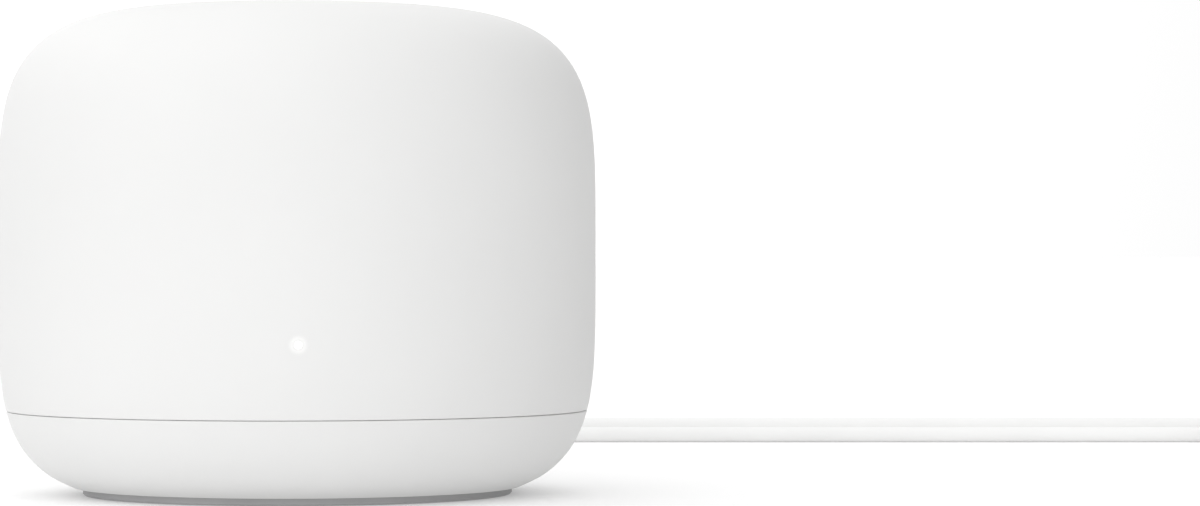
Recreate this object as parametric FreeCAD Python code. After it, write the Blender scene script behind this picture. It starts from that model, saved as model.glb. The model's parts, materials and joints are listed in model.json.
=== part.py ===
"""Wireless router: a round, dome-topped table router with its power lead and network lead.

The frame stands on Z = 0 with +Z up and the body's axis on Z. The status light faces -Y and the
sockets face +Y, in a recess under the back of the base. Every length is in millimetres.
"""
import FreeCAD
import Part
import math
import os

Vector = FreeCAD.Vector

# ---------------------------------------------------------------- casing outline
BODY_RADIUS = 55.0
BODY_HEIGHT = 90.0
WAIST_Z = 44.8          # height of the widest section
CROWN_POWER = 4.36      # superellipse exponent above the waist
BASE_POWER = 4.57       # superellipse exponent below the waist
BASE_LOW_Z = -1.6       # where the lower curve would reach the axis
WALL = 2.2
BASE_Z = 1.4            # underside of the base shell
FLOOR_TOP_Z = 3.4       # inside face of the base shell's floor
SEAM_Z = 15.5
SEAM_GAP = 0.07
SEAM_ROUND = 0.25       # rounding of the two edges that meet at the seam
LIP_OUTER_RADIUS = 50.6
LIP_WALL = 1.4
LIP_LOW_Z = 13.4
LIP_TOP_Z = 18.4
SNAP_COUNT = 6
SNAP_REACH = 2.0        # how far a catch runs out past the lip, into the top shell's wall
SNAP_HALF_WIDTH = 4.0
SNAP_LOW_Z = 16.6
SNAP_TOP_Z = 17.6

# ---------------------------------------------------------------- underside
FOOT_OUTER_RADIUS = 39.6
FOOT_INNER_RADIUS = 33.4
FOOT_RECESS_TOP_Z = 1.9
COVER_RADIUS = 32.6
COVER_LOW_Z = 0.8
VENT_COUNT = 7
VENT_PITCH = 3.2
VENT_HALF_WIDTH = 0.7
VENT_HALF_LENGTH = 9.0

# ---------------------------------------------------------------- socket recess
RECESS_HALF_WIDTH = 26.0
RECESS_TOP_Z = 14.0
RECESS_WALL = 1.2
BAY_TOP_Z = SEAM_Z - SEAM_GAP / 2
RECESS_CORNER = 5.0
PANEL_FRONT_Y = 28.4
PANEL_BACK_Y = 30.0     # the face that the sockets open through
PANEL_TOP_Z = 18.2

# ---------------------------------------------------------------- main board
BOARD_RADIUS = 41.0
BOARD_LOW_Z = 16.0
BOARD_THICK = 1.6
BOARD_TOP_Z = BOARD_LOW_Z + BOARD_THICK
BOARD_BACK_Y = 28.2
PROCESSOR_PLACE = (0, -3)
SWITCH_CHIP_PLACE = (-1, 17)
PROCESSOR_HIGH = 1.2
RADIO_PLACES = [(-9, -23), (9, -23)]
SHIELD_CAN_HIGH = 2.2
TRANSFORMER_HIGH = 5.5
INDUCTOR_HIGH = 4.0
CAPACITOR_HIGH = 7.5
CAPACITOR_PLACES = [(-4, -14), (-12, -14), (-20, -10)]
SOCKET_REACH = 37.5     # how far the antenna and ribbon sockets are from the axis
RIBBON_SOCKET_HIGH = 1.2
CASE_SCREW_PLACES = [(-34.0, 12.0), (34.0, 12.0), (-22.0, -28.0), (22.0, -28.0)]
SINK_SCREW_PLACES = [(-27.0, 10.0), (27.0, 10.0), (-27.0, -14.0), (27.0, -14.0)]
CASE_BOSS_RADIUS = 3.2
SINK_BOSS_RADIUS = 2.6
SCREW_RADIUS = 1.2
SCREW_HEAD_RADIUS = 2.2
SCREW_HEAD_HIGH = 1.6
SCREW_SLOT_DEPTH = 0.8
CASE_SCREW_SEAT_Z = 6.4     # where a case screw's head stops in its boss
CASE_SCREW_TIP_Z = 20.6
SINK_SCREW_TIP_Z = 8.0

# ---------------------------------------------------------------- network sockets and plugs
WAN_X = 0.5
LAN_X = -16.5
JACK_HALF_WIDTH = 8.0
JACK_LOW_Z = 3.5
JACK_BACK_Y = 13.5      # the inner end of a network socket
SHIELD_WALL = 0.3
PLUG_HALF_WIDTH = 5.84
PLUG_LOW_Z = 6.5
PLUG_TOP_Z = 13.1
PLUG_LENGTH = 21.5
PLUG_DEPTH = 13.0       # how far a plug goes into its socket
PLUG_GAP = 0.15         # clearance round a plug in its socket
CONTACT_PITCH = 1.02
CONTACT_COUNT = 8
LATCH_ANGLE = 6.0       # rest slope of a plug's latch, in degrees
LATCH_LENGTH = 14.5
LATCH_THICK = 0.8
LATCH_CHANNEL_HALF_WIDTH = 3.5
BOOT_LENGTH = 20.0
BOOT_HALF_WIDTH = 6.2
BOOT_SLEEVE_RADIUS = 3.7    # where the boot turns round, beside its collar

# ---------------------------------------------------------------- power socket and plug
POWER_X = 17.5
POWER_Z = 8.5
POWER_JACK_HALF_WIDTH = 4.75
POWER_JACK_BACK_Y = 14.0
POWER_BORE_RADIUS = 3.0
POWER_BORE_DEPTH = 11.0
POWER_PIN_RADIUS = 0.95
BARREL_RADIUS = 2.75
BARREL_BORE_RADIUS = 1.25
BARREL_LENGTH = 10.0
GRIP_RADIUS = 4.75
GRIP_LENGTH = 17.5
GRIP_GAP = 0.5          # between the plug's grip and the socket panel
RELIEF_LENGTH = 16.5

# ---------------------------------------------------------------- leads
POWER_LEAD_DIAMETER = 3.5
NETWORK_LEAD_DIAMETER = 5.0

POWER_ROUTE = [
    (17.5, 64.5, 8.5),
    (17.5, 80.0, 7.9),
    (17.1, 96.5, 4.5),
    (15.5, 115.0, 1.9),
    (11.5, 137.0, 1.75),
    (10.0, 158.5, 1.75),
    (14.5, 180.0, 1.75),
    (28.0, 197.0, 1.75),
    (50.0, 204.0, 1.75),
    (222.0, 191.4, 1.75),
    (240.0, 189.2, 1.75),
    (254.0, 180.0, 1.75),
    (259.0, 166.0, 1.75),
]
POWER_TAIL = [
    (259.2, 168.0, 12.4),
    (260.9, 158.0, 12.1),
    (259.6, 146.0, 11.0),
    (254.8, 134.0, 9.4),
    (251.0, 122.0, 9.0),
]
NETWORK_ROUTE = [
    (0.5, 56.0, 9.8),
    (0.5, 75.0, 9.2),
    (-0.4, 97.0, 5.3),
    (-3.5, 121.5, 2.7),
    (-8.0, 147.0, 2.5),
    (-9.5, 172.0, 2.5),
    (-4.0, 197.0, 2.5),
    (13.0, 215.0, 2.5),
    (38.0, 221.9, 2.5),
    (242.5, 206.8, 2.5),
    (265.5, 205.9, 2.5),
    (279.0, 210.3, 2.5),
    (288.8, 220.8, 2.5),
]
NETWORK_TAIL = [
    (270.0, 208.8, 7.6),
    (284.0, 211.5, 7.4),
    (296.5, 219.5, 6.0),
    (304.0, 232.5, 4.4),
    (305.5, 248.0, 3.7),
]

POWER_COIL_CENTRE = (235.0, 162.0)
POWER_COIL_RADIUS = 18.4        # middle of the turns
POWER_COIL_WIDTH = 11.0
POWER_COIL_HEIGHT = 14.2
NETWORK_COIL_CENTRE = (261.0, 244.0)
NETWORK_COIL_RADIUS = 27.2
NETWORK_COIL_WIDTH = 15.6
NETWORK_COIL_HEIGHT = 10.2
TIE_THICK = 0.8
TIE_WIDTH = 8.0
POWER_TIE_ANGLE = 200.0
NETWORK_TIE_ANGLE = 60.0

# ---------------------------------------------------------------- far ends of the leads
FAR_PLUG_X = 305.5
FAR_PLUG_Y = 248.0              # where the far boot's cord end is
ADAPTER_CENTRE = (251.0, 84.0)
ADAPTER_SIZE = (50.0, 44.0, 27.0)
ADAPTER_WALL = 2.0
ADAPTER_CORNER = 6.0
ADAPTER_SPLIT_Z = 14.0
ADAPTER_CORD_Z = 9.0
ADAPTER_BOARD_TOP_Z = 5.4
ADAPTER_RELIEF_LENGTH = 16.0
BLADE_SPACING = 12.7
BLADE_SIZE = (1.5, 6.35, 17.0)

# ---------------------------------------------------------------- heat sink, antennas, light
SINK_RADIUS = 32.0
SINK_LOW_Z = 20.6
SINK_BASE_THICK = 4.0
SINK_FIN_THICK = 1.4
SINK_FIN_PITCH = 5.0
SINK_FIN_COUNT = 13
SINK_LEG_RADIUS = 3.4
SINK_SCREW_SEAT = 2.6    # how deep a screw's head stops in the sink's plate, from below
SINK_INSET = 15.0       # how far the fins' tops stay inside the casing
CARRIER_OUTER_RADIUS = 47.2
CARRIER_WALL = 1.6
CARRIER_LOW_Z = 22.0
CARRIER_TOP_Z = 72.0
CARRIER_PAD_FACE = 47.8  # distance of a pad's flat face from the axis
CARRIER_PAD_DEPTH = 2.4
ANTENNA_ANGLES = [40.0, 140.0, 220.0, 320.0]
ANTENNA_SIZE = (24.0, 0.8, 32.0)
ANTENNA_LOW_Z = 36.0
COAX_RADIUS = 0.6
WINDOW_HALF_WIDTH = 13.0
WINDOW_MARGIN = 5.0      # solid band of the carrier above its windows
CARRIER_FOOT_TOP_Z = 23.0
LIGHT_Z = 28.6
LIGHT_TIP_RADIUS = 0.8
LIGHT_BOARD_THICK = 1.0
LED_HALF_WIDTH = 0.8
LED_HIGH = 0.7
RIBBON_THICK = 0.25
RIBBON_HALF_WIDTH = 3.0
RIBBON_RUN_Z = 19.6
RESET_PLACE = (12.0, -22.0)
RESET_STEM_RADIUS = 1.6
RESET_CAP_RADIUS = 2.6
RESET_STEM_TOP_Z = 11.2
RESET_SWITCH_GAP = 0.6          # 0.1 more than the button travels
RESET_PLUNGER_RADIUS = 1.0
RESET_PLUNGER_TOP_Z = 12.4
RESET_GUIDE_TOP_Z = 8.0

os.makedirs("parts", exist_ok=True)


# ================================================================ helpers
def box(x0, x1, y0, y1, z0, z1):
    """A box between two corners."""
    return Part.makeBox(x1 - x0, y1 - y0, z1 - z0, Vector(x0, y0, z0))


def post(radius, x, y, z0, z1):
    """An upright cylinder."""
    return Part.makeCylinder(radius, z1 - z0, Vector(x, y, z0))


def rod(radius, x, z, y0, y1):
    """A cylinder along +Y."""
    return Part.makeCylinder(radius, y1 - y0, Vector(x, y0, z), Vector(0, 1, 0))


def turned(shape, degrees, centre=(0, 0)):
    """A copy turned about an upright axis."""
    copy = shape.copy()
    copy.rotate(Vector(centre[0], centre[1], 0), Vector(0, 0, 1), degrees)
    return copy


def fuse(shapes):
    """One solid from several that touch or overlap."""
    return shapes[0].multiFuse(shapes[1:]).removeSplitter()


def save(node, shape):
    """Writes one node; a list is a group of separate solids."""
    made = Part.makeCompound(shape) if isinstance(shape, list) else shape
    solids = made.Solids
    volume = sum(s.Volume for s in solids)
    if not solids or volume <= 0 or not made.isValid():
        raise RuntimeError(f"{node} is not a valid solid")
    if len(solids) == 1:
        made = solids[0]
    made.exportStep(f"parts/{node}.step")
    print(f"{node}: {len(solids)} solids, {volume:.1f} mm3")


def outline_radius(z, inset=0.0):
    """Radius of the casing's outline at height z, moved inward by inset."""
    wide = BODY_RADIUS - inset
    if z >= WAIST_Z:
        share, power = (z - WAIST_Z) / (BODY_HEIGHT - inset - WAIST_Z), CROWN_POWER
    else:
        share, power = (WAIST_Z - z) / (WAIST_Z - BASE_LOW_Z - inset), BASE_POWER
    return wide * (1 - share ** power) ** (1 / power)


def outline_curve(wide, high, power, last_angle, sign, end_tangent=None):
    """A superellipse quarter in the XZ plane, from the waist up (sign 1) or down (sign -1)."""
    steps = 14
    points = []
    for i in range(steps + 1):
        angle = last_angle * i / steps
        reach = (math.cos(angle) / wide) ** power + (math.sin(angle) / high) ** power
        reach = reach ** (-1 / power)
        points.append(Vector(reach * math.cos(angle), 0, WAIST_Z + sign * reach * math.sin(angle)))
    if end_tangent:
        points[-1] = Vector(0, 0, WAIST_Z + sign * high)
    curve = Part.BSplineCurve()
    if end_tangent:
        curve.interpolate(Points=points, InitialTangent=Vector(0, 0, sign), FinalTangent=end_tangent)
    else:
        slope = points[-1] - points[-2]
        curve.interpolate(Points=points, InitialTangent=Vector(0, 0, sign), FinalTangent=slope)
    return curve, points[-1]


def body_form(inset, floor_z):
    """The solid inside the casing's outline, moved inward by inset and cut flat at floor_z."""
    wide = BODY_RADIUS - inset
    up, top = outline_curve(wide, BODY_HEIGHT - inset - WAIST_Z, CROWN_POWER, math.pi / 2, 1,
                            Vector(-1, 0, 0))
    edge_radius = outline_radius(floor_z, inset)
    last = math.atan2(WAIST_Z - floor_z, edge_radius)
    down, edge = outline_curve(wide, WAIST_Z - BASE_LOW_Z - inset, BASE_POWER, last, -1)
    low = Vector(0, 0, edge.z)
    wire = Part.Wire([
        Part.makeLine(low, edge),
        down.toShape(),
        up.toShape(),
        Part.makeLine(top, low),
    ])
    return Part.Face(wire).revolve(Vector(0, 0, 0), Vector(0, 0, 1), 360)


def ring(outer, inner, z0, z1):
    """A flat-ended ring about the Z axis."""
    return post(outer, 0, 0, z0, z1).cut(post(inner, 0, 0, z0 - 1, z1 + 1))


def lead_path(points):
    """Straight runs joined by tangent arcs, each as large as its two runs allow."""
    points = [Vector(*p) for p in points]
    edges = []
    start = points[0]
    radii = []
    for before, corner, after in zip(points, points[1:], points[2:]):
        into = (corner - before).normalize()
        out = (after - corner).normalize()
        turn = into.getAngle(out)
        shorter = min((corner - before).Length, (after - corner).Length)
        reach = 0.45 * shorter
        radii.append(reach / math.tan(turn / 2))
        first = corner - into * reach
        last = corner + out * reach
        side = (out - into).normalize()
        centre_gap = reach / math.tan(turn / 2) / math.cos(turn / 2)
        middle = corner + side * (centre_gap - radii[-1])
        edges.append(Part.makeLine(start, first))
        edges.append(Part.Arc(first, middle, last).toShape())
        start = last
    edges.append(Part.makeLine(start, points[-1]))
    print("  arc radii:", ", ".join(f"{r:.0f}" for r in radii))
    return Part.Wire(edges)


def lead_tube(points, diameter):
    """A round lead along a route."""
    path = lead_path(points)
    ahead = (Vector(*points[1]) - Vector(*points[0])).normalize()
    circle = Part.Wire(Part.makeCircle(diameter / 2, Vector(*points[0]), ahead))
    tube = path.makePipeShell([circle], True, False)
    expected = math.pi * diameter ** 2 / 4 * path.Length
    print(f"  length {path.Length:.1f}, volume share {tube.Volume / expected:.4f}")
    if tube.Volume < 0:
        tube.reverse()
    return tube


# ================================================================ casing
def socket_recess():
    """The space cut out of the back of the base for the plugs."""
    space = box(-RECESS_HALF_WIDTH, RECESS_HALF_WIDTH, PANEL_BACK_Y, BODY_RADIUS + 5,
                -1, RECESS_TOP_Z)
    upper = [e for e in space.Edges
             if all(abs(v.Z - RECESS_TOP_Z) < 0.01 for v in e.Vertexes)
             and abs(e.Vertexes[0].X - e.Vertexes[1].X) < 0.01]
    return space.makeFillet(RECESS_CORNER, upper)


def bay_block():
    """The room that the socket bay takes in the back of the base."""
    side = RECESS_HALF_WIDTH + RECESS_WALL
    return box(-side, side, PANEL_BACK_Y, BODY_RADIUS + 5, -1, BAY_TOP_Z)


def snap(angle, grow):
    """One catch between the casing's halves; grow leaves room round it."""
    lug = box(LIP_OUTER_RADIUS - LIP_WALL - grow, LIP_OUTER_RADIUS + SNAP_REACH,
              -SNAP_HALF_WIDTH - grow, SNAP_HALF_WIDTH + grow, SNAP_LOW_Z - grow, SNAP_TOP_Z + grow)
    return turned(lug, angle)


def seam_rounded(half, z):
    """Rounds the outer edge that a half of the casing has at the seam."""
    least_width = 2 * (outline_radius(SEAM_Z) - WALL / 2)
    seam_edge = [e for e in half.Edges
                 if abs(e.BoundBox.ZMin - z) < 0.01 and e.BoundBox.ZLength < 0.01
                 and e.BoundBox.XLength > least_width]
    return half.makeFillet(SEAM_ROUND, seam_edge)


def casing_halves():
    """The casing's outer form as two solids, above and below the seam."""
    span = BODY_RADIUS + 5
    outer = body_form(0.0, BASE_Z)
    upper_z = SEAM_Z + SEAM_GAP / 2
    lower_z = SEAM_Z - SEAM_GAP / 2
    upper = outer.common(box(-span, span, -span, span, upper_z, BODY_HEIGHT + 5))
    lower = outer.common(box(-span, span, -span, span, 0, lower_z))
    return seam_rounded(upper, upper_z), seam_rounded(lower, lower_z)


def make_casing():
    outer = body_form(0.0, BASE_Z)
    inner = body_form(WALL, FLOOR_TOP_Z)
    upper, lower = casing_halves()
    angles = [30 + 360 * i / SNAP_COUNT for i in range(SNAP_COUNT)]

    lugs = [snap(a, 0.0).common(outer) for a in angles]
    light_hole = rod(LIGHT_TIP_RADIUS + 0.05, 0, LIGHT_Z, -BODY_RADIUS - 2, -BODY_RADIUS + 8)
    top = fuse([upper.cut(inner)] + lugs).cut(light_hole)
    save("top_shell", top)

    lip = ring(LIP_OUTER_RADIUS, LIP_OUTER_RADIUS - LIP_WALL, LIP_LOW_Z, LIP_TOP_Z)
    bosses = [post(CASE_BOSS_RADIUS, x, y, FLOOR_TOP_Z - 1, BOARD_LOW_Z) for x, y in CASE_SCREW_PLACES]
    bosses += [post(SINK_BOSS_RADIUS, x, y, FLOOR_TOP_Z - 1, BOARD_LOW_Z) for x, y in SINK_SCREW_PLACES]
    x, y = RESET_PLACE
    guide = post(2 * RESET_STEM_RADIUS, x, y, FLOOR_TOP_Z - 1, RESET_GUIDE_TOP_Z)
    base = fuse([lower.cut(inner), lip, guide] + bosses)
    cuts = [
        bay_block(),
        ring(FOOT_OUTER_RADIUS, FOOT_INNER_RADIUS, 0, FOOT_RECESS_TOP_Z),
        post(COVER_RADIUS + 0.1, 0, 0, 0, FOOT_RECESS_TOP_Z),
        post(RESET_STEM_RADIUS + 0.15, x, y, 0, RESET_GUIDE_TOP_Z + 1),
    ]
    cuts += [snap(a, 0.2) for a in angles]
    for sx, sy in CASE_SCREW_PLACES:
        cuts.append(post(SCREW_RADIUS + 0.2, sx, sy, 0, BOARD_LOW_Z + 1))
        cuts.append(post(SCREW_HEAD_RADIUS + 0.3, sx, sy, 0, CASE_SCREW_SEAT_Z))
    for sx, sy in SINK_SCREW_PLACES:
        cuts.append(post(SCREW_RADIUS, sx, sy, SINK_SCREW_TIP_Z - 1, BOARD_LOW_Z + 1))
    base = base.cut(Part.makeCompound(cuts))
    save("base_shell", base)


def make_underside():
    recess = box(-RECESS_HALF_WIDTH - 0.4, RECESS_HALF_WIDTH + 0.4, PANEL_FRONT_Y - 0.6, 60, -1, 5)
    foot = ring(FOOT_OUTER_RADIUS - 0.1, FOOT_INNER_RADIUS + 0.1, 0, FOOT_RECESS_TOP_Z)
    lower = [e for e in foot.Edges if all(abs(v.Z) < 0.01 for v in e.Vertexes)]
    foot = foot.makeChamfer(0.3, lower).cut(recess)
    save("foot_ring", foot)

    cover = post(COVER_RADIUS, 0, 0, COVER_LOW_Z, FOOT_RECESS_TOP_Z).cut(recess)
    x, y = RESET_PLACE
    cover = cover.cut(post(RESET_CAP_RADIUS + 0.3, x, y, 0, 5))
    slots = []
    for i in range(VENT_COUNT):
        offset = (i - (VENT_COUNT - 1) / 2) * VENT_PITCH
        slots.append(box(offset - VENT_HALF_WIDTH, offset + VENT_HALF_WIDTH,
                         -VENT_HALF_LENGTH, VENT_HALF_LENGTH, 0, 5))
    cover = cover.cut(Part.makeCompound(slots))
    save("bottom_cover", cover)


# ================================================================ network sockets
def jack_space(centre_x, grow=PLUG_GAP):
    """The room for a network plug and its latch inside a socket."""
    body = box(centre_x - PLUG_HALF_WIDTH - grow, centre_x + PLUG_HALF_WIDTH + grow,
               PANEL_BACK_Y - PLUG_DEPTH - 1.0, PANEL_BACK_Y + 1, PLUG_LOW_Z - grow, PLUG_TOP_Z + grow)
    channel = box(centre_x - LATCH_CHANNEL_HALF_WIDTH, centre_x + LATCH_CHANNEL_HALF_WIDTH,
                  PANEL_BACK_Y - PLUG_DEPTH - 1.0, PANEL_BACK_Y + 1, JACK_LOW_Z + 0.4, PLUG_LOW_Z)
    springs = box(centre_x - 4.6, centre_x + 4.6, PANEL_BACK_Y - PLUG_DEPTH, PANEL_BACK_Y - 1.5,
                  PLUG_TOP_Z, PLUG_TOP_Z + 1.5)
    return fuse([body, channel, springs])


def make_jack(name, centre_x, plugged):
    shield_box = box(centre_x - JACK_HALF_WIDTH, centre_x + JACK_HALF_WIDTH, JACK_BACK_Y,
                     PANEL_BACK_Y, JACK_LOW_Z, BOARD_LOW_Z)
    inside = box(centre_x - JACK_HALF_WIDTH + SHIELD_WALL, centre_x + JACK_HALF_WIDTH - SHIELD_WALL,
                 JACK_BACK_Y + SHIELD_WALL, PANEL_BACK_Y + 1, JACK_LOW_Z + SHIELD_WALL,
                 BOARD_LOW_Z - SHIELD_WALL)
    save(f"{name}_jack_shield", shield_box.cut(inside))

    housing = inside.common(box(-60, 60, 0, PANEL_BACK_Y - 0.2, 0, 30)).cut(jack_space(centre_x))
    save(f"{name}_jack_housing", housing)

    springs = []
    for i in range(CONTACT_COUNT):
        x = centre_x + (i - (CONTACT_COUNT - 1) / 2) * CONTACT_PITCH
        wire = box(x - 0.2, x + 0.2, PANEL_BACK_Y - 11.5, PANEL_BACK_Y - 2.5, PLUG_TOP_Z + 1.15,
                   PLUG_TOP_Z + 1.4)
        if not plugged:
            wire.rotate(Vector(x, PANEL_BACK_Y - 2.5, PLUG_TOP_Z + 1.4), Vector(1, 0, 0), 12)
        springs.append(wire)
    save(f"{name}_jack_contacts", springs)


def make_power_jack():
    housing = box(POWER_X - POWER_JACK_HALF_WIDTH, POWER_X + POWER_JACK_HALF_WIDTH,
                  POWER_JACK_BACK_Y, PANEL_FRONT_Y, POWER_Z - 4.9, BOARD_LOW_Z)
    bore = rod(POWER_BORE_RADIUS, POWER_X, POWER_Z, PANEL_FRONT_Y - POWER_BORE_DEPTH, PANEL_FRONT_Y + 1)
    save("power_jack_housing", housing.cut(bore))
    pin = rod(POWER_PIN_RADIUS, POWER_X, POWER_Z, PANEL_FRONT_Y - POWER_BORE_DEPTH, PANEL_FRONT_Y - 1.2)
    tip = [e for e in pin.Edges if abs(e.BoundBox.YMin - e.BoundBox.YMax) < 0.01
           and e.BoundBox.YMax > PANEL_FRONT_Y - 2]
    save("power_jack_pin", pin.makeFillet(0.6, tip))


def make_socket_bay():
    """The walls and roof of the recess with the plate that the three sockets show through."""
    walls = bay_block().common(casing_halves()[1]).cut(socket_recess())
    side = RECESS_HALF_WIDTH + RECESS_WALL
    plate = box(-side, side, PANEL_FRONT_Y, PANEL_BACK_Y, FLOOR_TOP_Z, PANEL_TOP_Z)
    gap = 0.1
    for x in (WAN_X, LAN_X):
        plate = plate.cut(box(x - JACK_HALF_WIDTH - gap, x + JACK_HALF_WIDTH + gap, 0, BODY_RADIUS,
                              JACK_LOW_Z - gap, BOARD_LOW_Z + gap))
    plate = plate.cut(rod(POWER_BORE_RADIUS + 0.9, POWER_X, POWER_Z, 0, BODY_RADIUS))
    plate = plate.common(body_form(WALL, FLOOR_TOP_Z))
    save("socket_bay", fuse([walls, plate]))


# ================================================================ main board
def chip(x, y, wide, deep, high, z0=BOARD_TOP_Z):
    return box(x - wide / 2, x + wide / 2, y - deep / 2, y + deep / 2, z0, z0 + high)


def can(x, y, wide, deep, high):
    """A thin metal lid over a radio."""
    sheet = 0.25
    return chip(x, y, wide, deep, high).cut(chip(x, y, wide - 2 * sheet, deep - 2 * sheet, high - sheet))


def pad_on(x, y, wide, deep, lid_high):
    """A thermal pad between a chip or lid of that height and the heat sink."""
    low = BOARD_TOP_Z + lid_high
    return chip(x, y, wide, deep, SINK_LOW_Z - low, low)


def make_board():
    board = post(BOARD_RADIUS, 0, 0, BOARD_LOW_Z, BOARD_TOP_Z)
    board = board.cut(box(-BODY_RADIUS, BODY_RADIUS, BOARD_BACK_Y, BODY_RADIUS, 0, BODY_HEIGHT))
    for x, y in CASE_SCREW_PLACES + SINK_SCREW_PLACES:
        board = board.cut(post(SCREW_RADIUS + 0.3, x, y, 0, BODY_HEIGHT))
    save("main_board", board)

    px, py = PROCESSOR_PLACE
    sx, sy = SWITCH_CHIP_PLACE
    save("processor_chips", [chip(px, py, 15, 15, PROCESSOR_HIGH), chip(sx, sy, 12, 12, PROCESSOR_HIGH)])
    save("memory_chips", [chip(px + side * 14, py, 9, 12, 1.0) for side in (1, -1)])
    save("radio_chips", [chip(x, y, 8, 8, 0.9) for x, y in RADIO_PLACES])
    save("shield_cans", [can(x, y, 15, 14, SHIELD_CAN_HIGH) for x, y in RADIO_PLACES])
    pads = [pad_on(px, py, 13, 13, PROCESSOR_HIGH), pad_on(sx, sy, 10, 10, PROCESSOR_HIGH)]
    pads += [pad_on(x, y, 11, 10, SHIELD_CAN_HIGH) for x, y in RADIO_PLACES]
    save("thermal_pads", pads)

    under = BOARD_LOW_Z
    deep = TRANSFORMER_HIGH
    save("network_transformers", [chip(x, 6.5, 13, 9, deep, under - deep) for x in (WAN_X, LAN_X + 2.5)])
    deep = INDUCTOR_HIGH
    save("power_inductors", [chip(20, y, 7, 7, deep, under - deep) for y in (1, -8)])
    save("board_capacitors", [post(3.0, x, y, under - CAPACITOR_HIGH, under) for x, y in CAPACITOR_PLACES])
    sockets = [turned(chip(SOCKET_REACH, 0, 2.6, 2.6, 1.0), a) for a in ANTENNA_ANGLES]
    sockets.append(chip(0, -SOCKET_REACH, 7.0, 3.0, RIBBON_SOCKET_HIGH))
    save("board_sockets", sockets)


def make_heat_sink():
    plate = post(SINK_RADIUS, 0, 0, SINK_LOW_Z, SINK_LOW_Z + SINK_BASE_THICK)
    form = body_form(SINK_INSET, SINK_LOW_Z + 1)
    form = form.common(post(SINK_RADIUS - 0.5, 0, 0, SINK_LOW_Z + 1, BODY_HEIGHT))
    fins = []
    for i in range(SINK_FIN_COUNT):
        x = (i - (SINK_FIN_COUNT - 1) / 2) * SINK_FIN_PITCH
        slab = box(x - SINK_FIN_THICK / 2, x + SINK_FIN_THICK / 2, -60, 60, 0, 100)
        fins.append(form.common(slab))
    legs = [post(SINK_LEG_RADIUS, x, y, BOARD_TOP_Z, SINK_LOW_Z + SINK_BASE_THICK)
            for x, y in SINK_SCREW_PLACES]
    sink = fuse([plate] + fins + legs)
    for x, y in SINK_SCREW_PLACES:
        sink = sink.cut(post(SCREW_RADIUS + 0.2, x, y, 0, BODY_HEIGHT))
        sink = sink.cut(post(SCREW_HEAD_RADIUS + 0.6, x, y, SINK_LOW_Z + SINK_SCREW_SEAT, BODY_HEIGHT))
    save("heat_sink", sink)


def screw(x, y, head_z, tip_z):
    """A cross-head screw; its head stands on head_z and its shank runs to tip_z."""
    direction = 1 if tip_z > head_z else -1
    axis = Vector(0, 0, direction)
    head_start = head_z - direction * SCREW_HEAD_HIGH
    head = Part.makeCylinder(SCREW_HEAD_RADIUS, SCREW_HEAD_HIGH, Vector(x, y, head_start), axis)
    shank = Part.makeCylinder(SCREW_RADIUS - 0.05, abs(tip_z - head_z), Vector(x, y, head_z), axis)
    low = head_start - SCREW_SLOT_DEPTH
    high = head_start + SCREW_SLOT_DEPTH
    half_long = 1.2
    half_wide = 0.3
    slots = [box(x - half_long, x + half_long, y - half_wide, y + half_wide, low, high),
             box(x - half_wide, x + half_wide, y - half_long, y + half_long, low, high)]
    return fuse([head, shank]).cut(Part.makeCompound(slots))


def make_screws():
    seat = SINK_LOW_Z + SINK_SCREW_SEAT
    save("case_screws", [screw(x, y, CASE_SCREW_SEAT_Z, CASE_SCREW_TIP_Z) for x, y in CASE_SCREW_PLACES])
    save("heat_sink_screws", [screw(x, y, seat, SINK_SCREW_TIP_Z) for x, y in SINK_SCREW_PLACES])


# ================================================================ antennas and status light
def carrier_pad(angle, wide, z0, z1):
    face = box(-wide / 2, wide / 2, -CARRIER_PAD_FACE, -CARRIER_PAD_FACE + CARRIER_PAD_DEPTH, z0, z1)
    return turned(face, angle + 90)


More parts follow.
